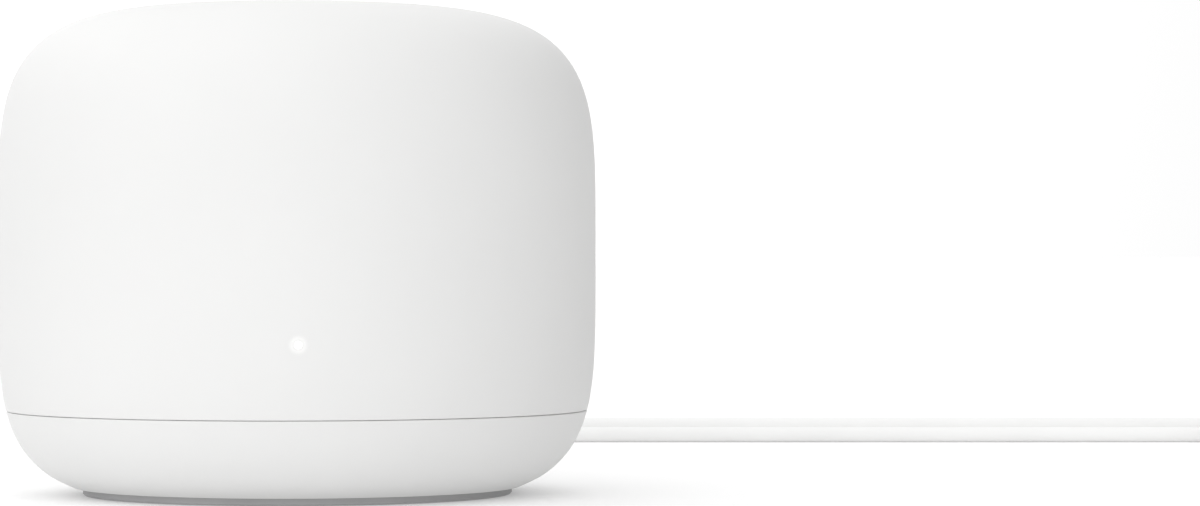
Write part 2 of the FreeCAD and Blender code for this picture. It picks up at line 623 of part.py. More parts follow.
def make_antennas():
    wall = ring(CARRIER_OUTER_RADIUS, CARRIER_OUTER_RADIUS - CARRIER_WALL, CARRIER_LOW_Z, CARRIER_TOP_Z)
    half = WINDOW_HALF_WIDTH
    inside = CARRIER_OUTER_RADIUS - 10
    outside = CARRIER_OUTER_RADIUS + 10
    top = CARRIER_TOP_Z - WINDOW_MARGIN
    windows = [turned(box(inside, outside, -half, half, CARRIER_LOW_Z + 8, top), a) for a in (0, 90, 180)]
    windows.append(turned(box(inside, outside, -half, half, CARRIER_LOW_Z + 16, top), 270))
    carrier = wall.cut(Part.makeCompound(windows))
    pads = [carrier_pad(a, 18, ANTENNA_LOW_Z + 1, ANTENNA_LOW_Z + 30) for a in ANTENNA_ANGLES]
    pads.append(carrier_pad(270, 14, CARRIER_LOW_Z, 35.5))
    feet = []
    for x, y in CASE_SCREW_PLACES:
        angle = math.degrees(math.atan2(y, x))
        reach = math.hypot(x, y)
        arm = box(reach, CARRIER_OUTER_RADIUS - 0.5, -1.5, 1.5,
                  CARRIER_FOOT_TOP_Z - 3, CARRIER_FOOT_TOP_Z + 1)
        feet.append(post(CASE_BOSS_RADIUS, x, y, BOARD_TOP_Z, CARRIER_FOOT_TOP_Z))
        feet.append(turned(arm, angle))
    notches = [turned(box(CARRIER_OUTER_RADIUS - 5, CARRIER_OUTER_RADIUS + 2, -2, 2, 0, 28.0), a)
               for a in ANTENNA_ANGLES]
    carrier = fuse([carrier] + pads + feet).cut(Part.makeCompound(notches))
    for x, y in CASE_SCREW_PLACES:
        carrier = carrier.cut(post(SCREW_RADIUS, x, y, BOARD_TOP_Z - 1, CASE_SCREW_TIP_Z + 0.9))
    save("antenna_carrier", carrier)

    wide, thick, high = ANTENNA_SIZE
    blank = box(-wide / 2, wide / 2, -CARRIER_PAD_FACE - thick, -CARRIER_PAD_FACE,
                ANTENNA_LOW_Z, ANTENNA_LOW_Z + high)
    save("antenna_boards", [turned(blank, a + 90) for a in ANTENNA_ANGLES])

    reach = CARRIER_PAD_FACE + thick + COAX_RADIUS
    route = [
        (reach, 0, ANTENNA_LOW_Z + 4),
        (reach, 0, 26.5),
        (45.5, 0.6, 20.6),
        (SOCKET_REACH, 0, BOARD_TOP_Z + 1.7),
    ]
    coax = lead_tube(route, 2 * COAX_RADIUS)
    save("antenna_leads", [turned(coax, a) for a in ANTENNA_ANGLES])


def make_status_light():
    face = -CARRIER_PAD_FACE - LIGHT_BOARD_THICK
    save("light_board", box(-6, 6, face, -CARRIER_PAD_FACE, 23.0, 35.0))
    half = LED_HALF_WIDTH
    save("status_led", box(-half, half, face - LED_HIGH, face, LIGHT_Z - half, LIGHT_Z + half))
    wall_y = WALL + 0.3 - BODY_RADIUS
    wide_part = rod(2.5 * LIGHT_TIP_RADIUS, 0, LIGHT_Z, wall_y, face - LED_HIGH - 0.1)
    tip = rod(LIGHT_TIP_RADIUS, 0, LIGHT_Z, -BODY_RADIUS - 1, wall_y + 0.1)
    save("light_guide", fuse([wide_part, tip]).common(body_form(0.0, BASE_Z)))
    side = RIBBON_HALF_WIDTH
    run_top = RIBBON_RUN_Z + RIBBON_THICK
    end_z = BOARD_TOP_Z + RIBBON_SOCKET_HIGH
    strip = fuse([
        box(-side, side, face - RIBBON_THICK, face, RIBBON_RUN_Z, 26.0),
        box(-side, side, face - RIBBON_THICK, -SOCKET_REACH, RIBBON_RUN_Z, run_top),
        box(-side, side, -SOCKET_REACH - RIBBON_THICK, -SOCKET_REACH, end_z, run_top),
    ])
    save("light_ribbon", strip)


def make_reset():
    x, y = RESET_PLACE
    cap = post(RESET_CAP_RADIUS, x, y, 0.5, 1.3)
    stem = post(RESET_STEM_RADIUS, x, y, 1.2, RESET_STEM_TOP_Z)
    save("reset_button", fuse([cap, stem]))
    save("reset_plunger", post(RESET_PLUNGER_RADIUS, x, y, RESET_STEM_TOP_Z, RESET_PLUNGER_TOP_Z))
    half = 3.0
    body = box(x - half, x + half, y - half, y + half, RESET_STEM_TOP_Z + RESET_SWITCH_GAP, BOARD_LOW_Z)
    well = post(RESET_PLUNGER_RADIUS + 0.15, x, y, RESET_STEM_TOP_Z, RESET_PLUNGER_TOP_Z + 1)
    save("reset_switch", body.cut(well))


# ================================================================ plugs and leads
def plug_pieces(prefix):
    """A network plug in its socket place: body, contacts, latch and boot, at WAN_X."""
    nose = PANEL_BACK_Y - PLUG_DEPTH
    back = nose + PLUG_LENGTH
    cord_z = (PLUG_LOW_Z + PLUG_TOP_Z) / 2
    body = box(WAN_X - PLUG_HALF_WIDTH, WAN_X + PLUG_HALF_WIDTH, nose, back, PLUG_LOW_Z, PLUG_TOP_Z)
    hollow_wall = 1.2
    half_hollow = PLUG_HALF_WIDTH - hollow_wall - 0.24
    body = body.cut(box(WAN_X - half_hollow, WAN_X + half_hollow, nose + 11.0, back + 1,
                        PLUG_LOW_Z + hollow_wall, PLUG_TOP_Z - hollow_wall))
    grooves = []
    blades = []
    for i in range(CONTACT_COUNT):
        x = WAN_X + (i - (CONTACT_COUNT - 1) / 2) * CONTACT_PITCH
        grooves.append(box(x - 0.25, x + 0.25, nose - 1, nose + 6.2, PLUG_TOP_Z - 1.2, PLUG_TOP_Z + 1))
        blades.append(box(x - 0.15, x + 0.15, nose + 1.2, nose + 5.4, PLUG_TOP_Z - 1.2, PLUG_TOP_Z - 0.25))
    body = body.cut(Part.makeCompound(grooves))
    bar_cut = box(WAN_X - 3.0, WAN_X + 3.0, nose + 8.0, nose + 10.0, PLUG_TOP_Z - 1.0, PLUG_TOP_Z + 1)
    body = body.cut(bar_cut)

    hinge_y = nose + 0.8
    hinge_z = PLUG_LOW_Z - LATCH_THICK / 2 - 0.05
    low = hinge_z - LATCH_THICK / 2
    high = hinge_z + LATCH_THICK / 2
    arm = fuse([
        box(WAN_X - 3.0, WAN_X + 3.0, hinge_y, hinge_y + 7.5, low, high),
        box(WAN_X - 1.6, WAN_X + 1.6, hinge_y, hinge_y + LATCH_LENGTH, low, high),
    ])
    arm.rotate(Vector(WAN_X, hinge_y, hinge_z + LATCH_THICK / 2), Vector(1, 0, 0), -LATCH_ANGLE)

    boot_start = back - 2.5
    boot_end = boot_start + BOOT_LENGTH
    half_high = (PLUG_TOP_Z - PLUG_LOW_Z) / 2 + 0.4
    front = Part.makePolygon([Vector(WAN_X + sx * BOOT_HALF_WIDTH, boot_start, cord_z + sz * half_high)
                              for sx, sz in ((-1, -1), (1, -1), (1, 1), (-1, 1), (-1, -1))])
    middle = Part.makePolygon([Vector(WAN_X + sx * 5.4, boot_start + 8.0, cord_z + sz * 3.4)
                               for sx, sz in ((-1, -1), (1, -1), (1, 1), (-1, 1), (-1, -1))])
    collar = Part.makeLoft([front, middle], True)
    sleeve = Part.makeCone(BOOT_SLEEVE_RADIUS, NETWORK_LEAD_DIAMETER / 2 + 0.7, boot_end - boot_start - 7.5,
                           Vector(WAN_X, boot_start + 7.5, cord_z), Vector(0, 1, 0))
    boot = fuse([collar, sleeve]).cut(box(WAN_X - PLUG_HALF_WIDTH, WAN_X + PLUG_HALF_WIDTH, nose, back,
                                          PLUG_LOW_Z, PLUG_TOP_Z))
    return {
        prefix + "_body": body,
        prefix + "_contacts": blades,
        prefix + "_latch": arm,
        prefix + "_boot": boot,
    }


def moved_far(shape):
    """A piece of the near plug, carried to the far end of the network lead and laid on its back."""
    copy = shape.copy()
    cord_z = (PLUG_LOW_Z + PLUG_TOP_Z) / 2
    boot_end = PANEL_BACK_Y - PLUG_DEPTH + PLUG_LENGTH - 2.5 + BOOT_LENGTH
    copy.rotate(Vector(WAN_X, boot_end, cord_z), Vector(0, 0, 1), 180)
    copy.rotate(Vector(WAN_X, boot_end, cord_z), Vector(0, 1, 0), 180)
    half_high = (PLUG_TOP_Z - PLUG_LOW_Z) / 2 + 0.4
    copy.translate(Vector(FAR_PLUG_X - WAN_X, FAR_PLUG_Y - boot_end, half_high - cord_z))
    return copy


def coil_ring(centre, radius, wide, high, lead):
    """The outer shape of a coil wound from a lead of that diameter."""
    x, y = centre
    outer = post(radius + wide / 2, x, y, 0, high)
    whole = outer.cut(post(radius - wide / 2, x, y, -1, high + 1))
    return whole.makeFillet(lead / 2, whole.Edges)


def coil_tie(centre, radius, wide, high, lead, angle):
    """A strap round a coil's turns."""
    x, y = centre
    slab = box(x + radius - wide / 2 - TIE_THICK, x + radius + wide / 2 + TIE_THICK,
               y - TIE_WIDTH / 2, y + TIE_WIDTH / 2, 0, high + TIE_THICK)
    strap = slab.makeFillet(2.0, [e for e in slab.Edges if abs(e.Vertexes[0].Y - e.Vertexes[1].Y) > 1])
    strap = strap.cut(coil_ring(centre, radius, wide, high, lead))
    return turned(strap, angle, centre)


def make_power_lead():
    back = PANEL_BACK_Y + GRIP_GAP
    grip = rod(GRIP_RADIUS, POWER_X, POWER_Z, back, back + GRIP_LENGTH)
    grip = grip.makeFillet(1.2, [e for e in grip.Edges if e.BoundBox.YLength < 0.01])
    relief = Part.makeCone(3.4, POWER_LEAD_DIAMETER / 2 + 0.5, RELIEF_LENGTH + 0.5,
                           Vector(POWER_X, back + GRIP_LENGTH - 0.5, POWER_Z), Vector(0, 1, 0))
    save("power_plug_grip", fuse([grip, relief]))
    barrel = rod(BARREL_RADIUS, POWER_X, POWER_Z, back - BARREL_LENGTH - 1.2, back)
    barrel = barrel.cut(rod(BARREL_BORE_RADIUS + 0.5, POWER_X, POWER_Z, 0, back - 2))
    save("power_plug_barrel", barrel)
    liner = rod(BARREL_BORE_RADIUS + 0.5, POWER_X, POWER_Z, back - BARREL_LENGTH - 1.6, back - 2)
    save("power_plug_liner", liner.cut(rod(BARREL_BORE_RADIUS, POWER_X, POWER_Z, 0, back - 2.4)))

    save("power_lead", [lead_tube(r, POWER_LEAD_DIAMETER) for r in (POWER_ROUTE, POWER_TAIL)])
    shape = (POWER_COIL_CENTRE, POWER_COIL_RADIUS, POWER_COIL_WIDTH, POWER_COIL_HEIGHT, POWER_LEAD_DIAMETER)
    save("power_lead_coil", coil_ring(*shape))
    save("power_lead_tie", coil_tie(*shape, POWER_TIE_ANGLE))


def make_adapter():
    x, y = ADAPTER_CENTRE
    wide, deep, high = ADAPTER_SIZE
    whole = box(x - wide / 2, x + wide / 2, y - deep / 2, y + deep / 2, 0, high)
    upright = [e for e in whole.Edges if e.BoundBox.ZLength > 1]
    whole = whole.makeFillet(ADAPTER_CORNER, upright)
    flat = [e for e in whole.Edges if e.BoundBox.ZLength < 0.01]
    whole = whole.makeFillet(2.5, flat)
    wall = ADAPTER_WALL
    inside = box(x - wide / 2 + wall, x + wide / 2 - wall, y - deep / 2 + wall, y + deep / 2 - wall,
                 wall, high - wall)
    inside = inside.makeFillet(ADAPTER_CORNER - wall, [e for e in inside.Edges if e.BoundBox.ZLength > 1])
    case = whole.cut(inside)
    cord_hole = rod(3.0, x, ADAPTER_CORD_Z, y + deep / 2 - wall - 1, y + deep / 2 + 5)
    case = case.cut(cord_hole)
    blade_wide, blade_deep, blade_high = BLADE_SIZE
    blades = []
    for side in (-1, 1):
        bx = x + side * BLADE_SPACING / 2
        blade = box(bx - blade_wide / 2, bx + blade_wide / 2, y - blade_deep / 2, y + blade_deep / 2,
                    high - wall - 3, high + blade_high)
        eye = Part.makeCylinder(1.6, 6, Vector(bx - 3, y, high + blade_high - 4.2), Vector(1, 0, 0))
        blade = blade.makeChamfer(0.5, [e for e in blade.Edges if e.BoundBox.ZMin > high + blade_high - 0.1
                                        and e.BoundBox.YLength > 1]).cut(eye)
        blades.append(blade)
        case = case.cut(box(bx - blade_wide / 2, bx + blade_wide / 2, y - blade_deep / 2,
                            y + blade_deep / 2, high - wall - 1, high + 1))
    save("adapter_front_case", case.common(box(0, 400, 0, 400, -1, ADAPTER_SPLIT_Z)))
    save("adapter_back_case", case.common(box(0, 400, 0, 400, ADAPTER_SPLIT_Z + 0.2, high + 1)))
    save("adapter_blades", blades)

    edge = y + deep / 2
    relief = fuse([
        Part.makeCone(4.2, POWER_LEAD_DIAMETER / 2 + 0.5, ADAPTER_RELIEF_LENGTH,
                      Vector(x, edge, ADAPTER_CORD_Z), Vector(0, 1, 0)),
        rod(3.0, x, ADAPTER_CORD_Z, edge - wall, edge + 0.5),
        rod(3.8, x, ADAPTER_CORD_Z, edge - wall - 1.5, edge - wall),
    ])
    save("adapter_strain_relief", relief)
    top = ADAPTER_BOARD_TOP_Z
    save("adapter_board", box(x - 21, x + 21, y - 18.5, y + 16, top - 1.4, top))
    save("adapter_transformer", box(x - 8, x + 8, y - 10, y + 8, top, 20.0))
    save("adapter_capacitors", [
        post(4.5, x - 14.5, y - 8, top, 21.0),
        post(3.5, x + 14.5, y + 6, top, 17.0),
        post(3.5, x + 14.5, y - 8, top, 17.0),
    ])


def make_network_lead():
    near = plug_pieces("network_plug")
    for node, shape in near.items():
        save(node, shape)
    for node, shape in near.items():
        far = [moved_far(s) for s in shape] if isinstance(shape, list) else moved_far(shape)
        save(node.replace("network_plug", "far_plug"), far)
    save("network_lead", [lead_tube(r, NETWORK_LEAD_DIAMETER) for r in (NETWORK_ROUTE, NETWORK_TAIL)])
    shape = (NETWORK_COIL_CENTRE, NETWORK_COIL_RADIUS, NETWORK_COIL_WIDTH, NETWORK_COIL_HEIGHT,
             NETWORK_LEAD_DIAMETER)
    save("network_lead_coil", coil_ring(*shape))
    save("network_lead_tie", coil_tie(*shape, NETWORK_TIE_ANGLE))


make_casing()
make_underside()
make_jack("wan", WAN_X, True)
make_jack("lan", LAN_X, False)
make_power_jack()
make_socket_bay()
make_board()
make_heat_sink()
make_screws()
make_antennas()
make_status_light()
make_reset()
make_power_lead()
make_adapter()
make_network_lead()
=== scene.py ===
"""Looks for the wireless router: materials, leads wound from one smooth line each, moulded boots, straps and
wires, a pale floor, soft light and the camera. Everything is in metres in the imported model's own frame:
+Z up, the status light faces -Y and the sockets face +Y."""
import json
import math

import bmesh
import bpy
from mathutils import Euler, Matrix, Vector


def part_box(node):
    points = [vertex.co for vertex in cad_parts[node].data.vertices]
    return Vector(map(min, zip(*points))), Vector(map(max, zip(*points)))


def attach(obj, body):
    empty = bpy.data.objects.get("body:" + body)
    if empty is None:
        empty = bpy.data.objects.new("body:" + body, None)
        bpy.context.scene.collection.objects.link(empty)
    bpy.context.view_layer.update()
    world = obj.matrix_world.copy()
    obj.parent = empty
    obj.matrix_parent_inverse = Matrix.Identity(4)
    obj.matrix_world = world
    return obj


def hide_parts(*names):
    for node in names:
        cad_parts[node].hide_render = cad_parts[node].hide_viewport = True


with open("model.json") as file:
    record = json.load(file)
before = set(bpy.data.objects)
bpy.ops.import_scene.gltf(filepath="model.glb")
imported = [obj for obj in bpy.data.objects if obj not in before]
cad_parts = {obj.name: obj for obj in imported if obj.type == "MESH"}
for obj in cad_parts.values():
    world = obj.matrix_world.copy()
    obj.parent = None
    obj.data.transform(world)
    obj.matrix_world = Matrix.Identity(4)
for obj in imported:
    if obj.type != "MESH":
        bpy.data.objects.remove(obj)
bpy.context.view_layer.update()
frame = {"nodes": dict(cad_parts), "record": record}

MM = 0.001
SCENE = bpy.context.scene

# ================================================================ camera
CAMERA_DISTANCE = 0.760
CAMERA_HEIGHT = 0.0441
CAMERA_LENS = 122.97
CAMERA_YAW = -4.211     # degrees: the camera looks past the router's right side, along the leads
CAMERA_PITCH = 0.024

# ================================================================ the leads' lines, in millimetres
POWER_DIAMETER = 3.5
NETWORK_DIAMETER = 5.0

POWER_ROUTE = [
    (17.5, 64.5, 8.5),
    (17.5, 80.0, 7.9),
    (17.1, 96.5, 4.5),
    (15.5, 115.0, 1.9),
    (11.5, 137.0, 1.75),
    (10.0, 158.5, 1.75),
    (14.5, 180.0, 1.75),
    (28.0, 197.0, 1.75),
    (50.0, 204.0, 1.75),
    (73.0, 202.3, 1.75),
    (204.0, 192.7, 1.75),
    (222.0, 191.4, 1.75),
    (240.0, 189.2, 1.75),
    (254.0, 180.0, 1.75),
    (259.0, 166.0, 1.75),
]
POWER_TAIL = [
    (259.2, 168.0, 12.4),
    (260.9, 158.0, 12.1),
    (259.6, 146.0, 11.0),
    (254.8, 134.0, 9.4),
    (251.0, 122.0, 9.0),
]
NETWORK_ROUTE = [
    (0.5, 56.0, 9.8),
    (0.5, 75.0, 9.2),
    (-0.4, 97.0, 5.3),
    (-3.5, 121.5, 2.7),
    (-8.0, 147.0, 2.5),
    (-9.5, 172.0, 2.5),
    (-4.0, 197.0, 2.5),
    (13.0, 215.0, 2.5),
    (38.0, 221.9, 2.5),
    (64.0, 220.0, 2.5),
    (219.5, 208.5, 2.5),
    (242.5, 206.8, 2.5),
    (265.5, 205.9, 2.5),
    (279.0, 210.3, 2.5),
    (288.8, 220.8, 2.5),
]
NETWORK_TAIL = [
    (270.0, 208.8, 7.6),
    (284.0, 211.5, 7.4),
    (296.5, 219.5, 6.0),
    (304.0, 232.5, 4.4),
    (305.5, 248.0, 3.7),
]
POWER_COIL = {
    "centre": (235.0, 162.0),
    "radii": (22.0, 18.4, 14.8),
    "heights": (1.75, 5.3, 8.85, 12.4),
    "start": -15.0,
    "turning": -1,
    "last_turn": 0.86,
}
NETWORK_COIL = {
    "centre": (261.0, 244.0),
    "radii": (32.4, 27.2, 22.0),
    "heights": (2.5, 7.6),
    "start": -15.0,
    "turning": 1,
    "last_turn": 0.72,
}
POINTS_PER_TURN = 24
RISE_SHARE = 0.125      # the part of a turn in which the lead climbs to the next layer
STEP_SHARE = 0.125      # the part of a turn in which it moves over to the next row


def metres(point):
    return tuple(MM * c for c in point)


def new_object(name, data):
    made = bpy.data.objects.new(name, data)
    SCENE.collection.objects.link(made)
    return made


def make_camera():
    data = bpy.data.cameras.new("camera")
    data.sensor_width = 36.0
    data.lens = CAMERA_LENS
    data.clip_start = 0.01
    camera = new_object("camera", data)
    camera.location = (0.0, -CAMERA_DISTANCE, CAMERA_HEIGHT)
    camera.rotation_euler = Euler((math.radians(90.0 + CAMERA_PITCH), 0.0, math.radians(CAMERA_YAW)))
    SCENE.camera = camera


make_camera()


# ================================================================ winding the leads
def smooth(share):
    share = min(max(share, 0.0), 1.0)
    return share * share * (3.0 - 2.0 * share)


def coil_places(radii, heights):
    """(radius, height) of each turn: a layer wound inward, the next one outward, and so on up."""
    places = []
    for layer, height in enumerate(heights):
        row = radii if layer % 2 == 0 else tuple(reversed(radii))
        places += [(radius, height) for radius in row]
    return places


def coil_points(centre, radii, heights, start, turning, last_turn):
    """Points of a neat coil; each turn is round, then steps over or up to the next turn's place."""
    places = coil_places(radii, heights)
    reach = 1.0 / math.cos(math.pi / POINTS_PER_TURN)
    count = round((len(places) - 1 + last_turn) * POINTS_PER_TURN)
    points = []
    for i in range(count + 1):
        turn, step = divmod(i, POINTS_PER_TURN)
        share = step / POINTS_PER_TURN
        radius, height = places[turn]
        following = places[min(turn + 1, len(places) - 1)]
        rise = smooth((share - 1.0 + RISE_SHARE + STEP_SHARE) / RISE_SHARE)
        over = smooth((share - 1.0 + STEP_SHARE) / STEP_SHARE)
        radius += over * (following[0] - radius)
        height += rise * (following[1] - height)
        angle = math.radians(start) + turning * 2.0 * math.pi * i / POINTS_PER_TURN
        x = centre[0] + reach * radius * math.cos(angle)
        y = centre[1] + reach * radius * math.sin(angle)
        points.append((x, y, height))
    return points


def round_curve(name, fineness):
    """Curve data with a round section; fineness is how smooth the section is."""
    data = bpy.data.curves.new(name, "CURVE")
    data.dimensions = "3D"
    data.bevel_depth = 1.0      # each point's radius is the real one, so that the curve's box is right too
    data.bevel_resolution = fineness
    data.use_fill_caps = True
    return data


def add_line(data, points, diameter):
    """A smooth spline with these points, in millimetres, as its control points."""
    spline = data.splines.new("NURBS")
    spline.points.add(len(points) - 1)
    for control, point in zip(spline.points, points):
        control.co = (*metres(point), 1.0)
        control.radius = MM * diameter / 2
    spline.order_u = 3
    spline.use_endpoint_u = True
    spline.resolution_u = 6
    return spline


def smooth_curve(name, points, diameter):
    data = round_curve(name, 7)
    add_line(data, points, diameter)
    return new_object(name, data)


def make_leads():
    power = smooth_curve("power_cord", POWER_ROUTE + coil_points(**POWER_COIL) + POWER_TAIL, POWER_DIAMETER)
    network = smooth_curve("network_cord", NETWORK_ROUTE + coil_points(**NETWORK_COIL) + NETWORK_TAIL,
                           NETWORK_DIAMETER)
    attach(power, "power_lead")
    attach(network, "network_lead")
    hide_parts("power_lead", "power_lead_coil")
    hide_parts("network_lead", "network_lead_coil")
    return power, network


power_cord, network_cord = make_leads()


# ================================================================ materials
CLEAR_IOR = 1.49
CLEAR_TRANSMISSION = 0.9
CLEAR_ALPHA = 0.85
SHELL_SPECULAR = 0.12       # little gloss, so that the dome's rim doesn't fade into the bright surround
# the casing's painted glow round the status light's tip: where it starts to fade, where it ends, and its
# strength
GLOW_START = 0.0007         # metres from the light's tip at which the glow begins to fade
GLOW_REACH = 0.0021         # and at which it has gone
GLOW_STRENGTH = 0.1


def new_material(name):
    material = bpy.data.materials.new(name)
    material.use_nodes = True
    nodes = material.node_tree.nodes
    return material, nodes, material.node_tree.links, nodes["Principled BSDF"]


NOISE_LOW, NOISE_HIGH = 0.3, 0.7        # the noise seldom leaves this span


def add_noise(nodes, links, scale, detail=3.0, stretch=(1.0, 1.0, 1.0)):
    """Noise in the object's own coordinates; scale is in cycles a metre."""
    place = nodes.new("ShaderNodeTexCoord")
    mapping = nodes.new("ShaderNodeMapping")
    mapping.inputs["Scale"].default_value = stretch
    noise = nodes.new("ShaderNodeTexNoise")
    noise.inputs["Scale"].default_value = scale
    noise.inputs["Detail"].default_value = detail
    links.new(place.outputs["Object"], mapping.inputs["Vector"])
    links.new(mapping.outputs["Vector"], noise.inputs["Vector"])
    return noise


def add_range(nodes, links, source, low, high):
    spread = nodes.new("ShaderNodeMapRange")
    spread.inputs["From Min"].default_value = NOISE_LOW
    spread.inputs["From Max"].default_value = NOISE_HIGH
    spread.inputs["To Min"].default_value = low
    spread.inputs["To Max"].default_value = high
    links.new(source, spread.inputs["Value"])
    return spread.outputs["Result"]


def add_tint(nodes, links, source, colour, share):
    """A colour that strays by a share, darker and lighter, as source goes from low to high."""
    ramp = nodes.new("ShaderNodeValToRGB")
    ramp.color_ramp.elements[0].position = NOISE_LOW
    ramp.color_ramp.elements[1].position = NOISE_HIGH
    ramp.color_ramp.elements[0].color = (*[c * (1.0 - share) for c in colour], 1.0)
    ramp.color_ramp.elements[1].color = (*[min(1.0, c * (1.0 + share)) for c in colour], 1.0)
    links.new(source, ramp.inputs["Fac"])
    return ramp.outputs["Color"]


def add_bump(nodes, links, source, depth, shader, strength=1.0):
    bump = nodes.new("ShaderNodeBump")
    bump.inputs["Strength"].default_value = strength
    bump.inputs["Distance"].default_value = depth
    links.new(source, bump.inputs["Height"])
    links.new(bump.outputs["Normal"], shader.inputs["Normal"])
    return bump


def moulded(name, colour, roughness, grain=2600.0, depth=0.000012, stray=0.015, metallic=0.0,
            stretch=(1.0, 1.0, 1.0), spread=0.05):
    """A moulded or cast surface with a fine grain, uneven gloss and a slight stray of colour."""
    material, nodes, links, shader = new_material(name)
    broad = add_noise(nodes, links, 38.0, 3.0)
    fine = add_noise(nodes, links, grain, 4.0, stretch)
    links.new(add_tint(nodes, links, broad.outputs["Fac"], colour, stray), shader.inputs["Base Color"])
    gloss = add_range(nodes, links, fine.outputs["Fac"], roughness - spread, roughness + spread)
    links.new(gloss, shader.inputs["Roughness"])
    shader.inputs["Metallic"].default_value = metallic
    add_bump(nodes, links, fine.outputs["Fac"], depth, shader)
    return material


def sheet_metal(name, colour, roughness, direction=(1.0, 40.0, 1.0), grain=500.0):
    """Rolled or brushed metal, with fine lines along one direction."""
    return moulded(name, colour, roughness, grain, 0.000004, 0.04, 1.0, direction, 0.08)


def cable_jacket(name, colour):
    """A soft satin jacket: faint bands of stray gloss and a very fine skin."""
    material, nodes, links, shader = new_material(name)
    broad = add_noise(nodes, links, 60.0, 2.0)
    fine = add_noise(nodes, links, 4200.0, 2.0)
    links.new(add_tint(nodes, links, broad.outputs["Fac"], colour, 0.012), shader.inputs["Base Color"])
    links.new(add_range(nodes, links, fine.outputs["Fac"], 0.42, 0.5), shader.inputs["Roughness"])
    add_bump(nodes, links, fine.outputs["Fac"], 0.000006, shader)
    return material


def clear_plastic(name, colour):
    """Clear moulded plastic with faint flow lines in its gloss."""
    material, nodes, links, shader = new_material(name)
    flow = add_noise(nodes, links, 260.0, 3.0, (1.0, 6.0, 1.0))
    links.new(add_tint(nodes, links, flow.outputs["Fac"], colour, 0.03), shader.inputs["Base Color"])
    links.new(add_range(nodes, links, flow.outputs["Fac"], 0.06, 0.16), shader.inputs["Roughness"])
    shader.inputs["IOR"].default_value = CLEAR_IOR
    shader.inputs["Transmission Weight"].default_value = CLEAR_TRANSMISSION
    shader.inputs["Alpha"].default_value = CLEAR_ALPHA
    add_bump(nodes, links, flow.outputs["Fac"], 0.00001, shader)
    return material


def circuit_board(name, mask, trace):
    """Solder mask over a pattern of tracks and pads."""
    material, nodes, links, shader = new_material(name)
    place = nodes.new("ShaderNodeTexCoord")
    tracks = nodes.new("ShaderNodeTexBrick")
    tracks.inputs["Scale"].default_value = 260.0
    tracks.inputs["Mortar Size"].default_value = 0.09
    tracks.inputs["Color1"].default_value = (*mask, 1.0)
    tracks.inputs["Color2"].default_value = (*[c * 0.86 for c in mask], 1.0)
    tracks.inputs["Mortar"].default_value = (*trace, 1.0)
    links.new(place.outputs["Object"], tracks.inputs["Vector"])
    links.new(tracks.outputs["Color"], shader.inputs["Base Color"])
    broad = add_noise(nodes, links, 90.0, 2.0)
    links.new(add_range(nodes, links, broad.outputs["Fac"], 0.24, 0.36), shader.inputs["Roughness"])
    add_bump(nodes, links, tracks.outputs["Fac"], 0.00003, shader)
    return material


def woven_strap(name, colour):
    """A hook-and-loop strap: a fine weave of threads both ways with a loose nap."""
    material, nodes, links, shader = new_material(name)
    place = nodes.new("ShaderNodeTexCoord")
    threads = nodes.new("ShaderNodeTexWave")
    threads.inputs["Scale"].default_value = 640.0
    threads.inputs["Distortion"].default_value = 0.5
    threads.inputs["Detail"].default_value = 1.0
    links.new(place.outputs["Object"], threads.inputs["Vector"])
    nap = add_noise(nodes, links, 2200.0, 5.0)
    mix = nodes.new("ShaderNodeMath")
    mix.operation = "ADD"
    links.new(threads.outputs["Fac"], mix.inputs[0])
    links.new(nap.outputs["Fac"], mix.inputs[1])
    links.new(add_tint(nodes, links, nap.outputs["Fac"], colour, 0.16), shader.inputs["Base Color"])
    links.new(add_range(nodes, links, nap.outputs["Fac"], 0.8, 0.98), shader.inputs["Roughness"])
    shader.inputs["Sheen Weight"].default_value = 0.25
    add_bump(nodes, links, mix.outputs["Value"], 0.00008, shader)
    return material


def lit(name, colour, strength):
    """A lit emitter; its glow is a little uneven."""
    material, nodes, links, shader = new_material(name)
    spots = add_noise(nodes, links, 900.0, 2.0)
    tint = add_tint(nodes, links, spots.outputs["Fac"], colour, 0.03)
    links.new(tint, shader.inputs["Base Color"])
    links.new(tint, shader.inputs["Emission Color"])
    links.new(add_range(nodes, links, spots.outputs["Fac"], 0.3, 0.4), shader.inputs["Roughness"])
    shader.inputs["Emission Strength"].default_value = strength
    return material


def shell_plastic(name, colour, glow_centre):
    """The casing's satin plastic, with a painted glow near the status light's tip that stands in for the light
    bleeding through it.
    """
    material = moulded(name, colour, 0.5, 3000.0, 0.000005, 0.006, spread=0.035)
    nodes, links = material.node_tree.nodes, material.node_tree.links
    shader = nodes["Principled BSDF"]
    shader.inputs["Specular IOR Level"].default_value = SHELL_SPECULAR
    # painted glow: the casing emits light that fades out with distance from the status light's tip
    place = nodes.new("ShaderNodeTexCoord")
    gap = nodes.new("ShaderNodeVectorMath")
    gap.operation = "DISTANCE"
    gap.inputs[1].default_value = glow_centre
    links.new(place.outputs["Object"], gap.inputs[0])
    fade = nodes.new("ShaderNodeMapRange")
    fade.interpolation_type = "SMOOTHERSTEP"
    fade.inputs["From Min"].default_value = GLOW_START
    fade.inputs["From Max"].default_value = GLOW_REACH
    fade.inputs["To Min"].default_value = GLOW_STRENGTH
    fade.inputs["To Max"].default_value = 0.0
    links.new(gap.outputs["Value"], fade.inputs["Value"])
    shader.inputs["Emission Color"].default_value = (1.0, 0.99, 0.97, 1.0)
    links.new(fade.outputs["Result"], shader.inputs["Emission Strength"])
    return material


def light_tip():
    low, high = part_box("light_guide")
    return ((low.x + high.x) / 2, low.y, (low.z + high.z) / 2)


